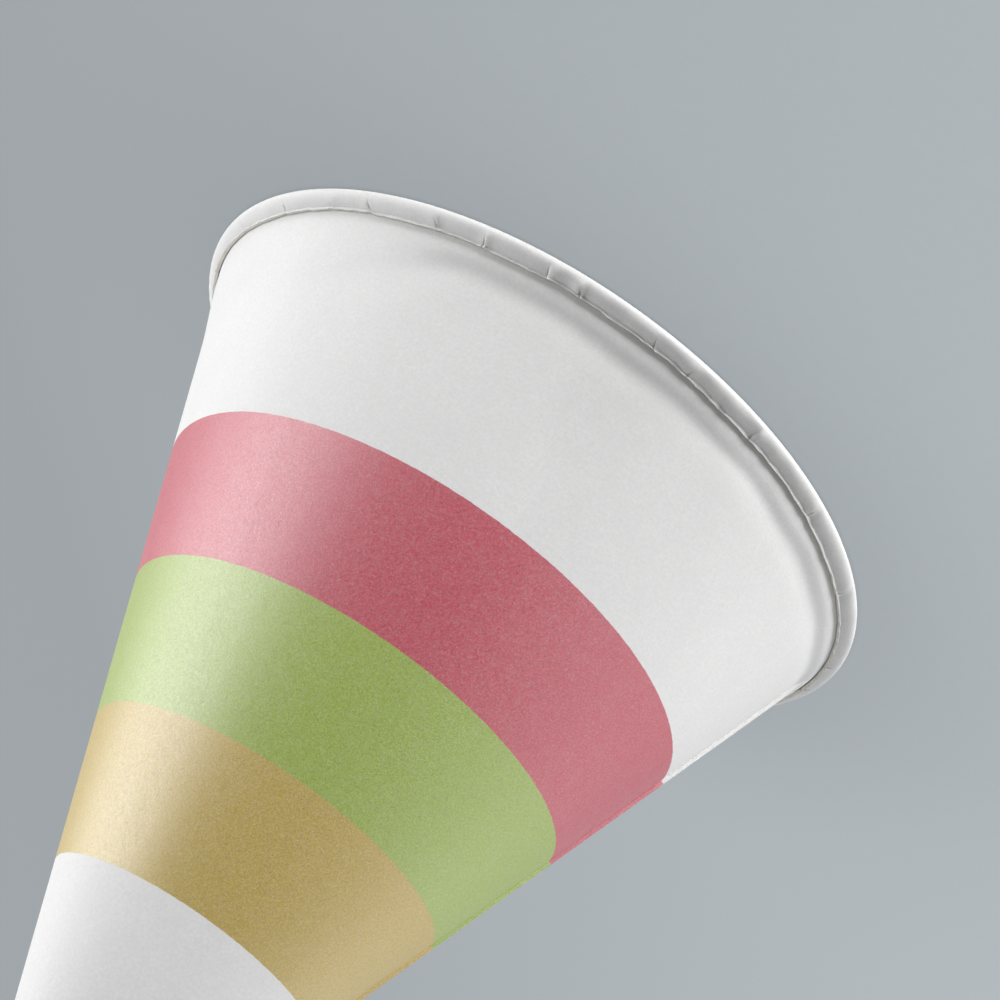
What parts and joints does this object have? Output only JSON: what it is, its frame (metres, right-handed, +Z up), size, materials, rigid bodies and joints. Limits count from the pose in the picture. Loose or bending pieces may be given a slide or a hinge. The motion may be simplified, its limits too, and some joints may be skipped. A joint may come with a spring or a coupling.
{
  "type": "paper cone cup",
  "caption": "Small conical paper drinking cup with a pointed tip, a lapped side seam and an outward rolled, pleated rim, printed with plain bands of colour.",
  "frame": {"origin": "centre of the flat ring of the rim that the cup stands on, mouth down", "axes": "+Z up the cone's axis from the mouth to the tip; +X and +Y lie in the plane of the rim, and the side seam is near -X"},
  "size_m": [0.0718, 0.0718, 0.0907],
  "materials": {
    "paper": "matt uncoated white paper with three plain printed bands, rose, green and gold"
  },
  "bodies": {
    "root": {"cone_cup": "paper"}
  },
  "joints": []
}
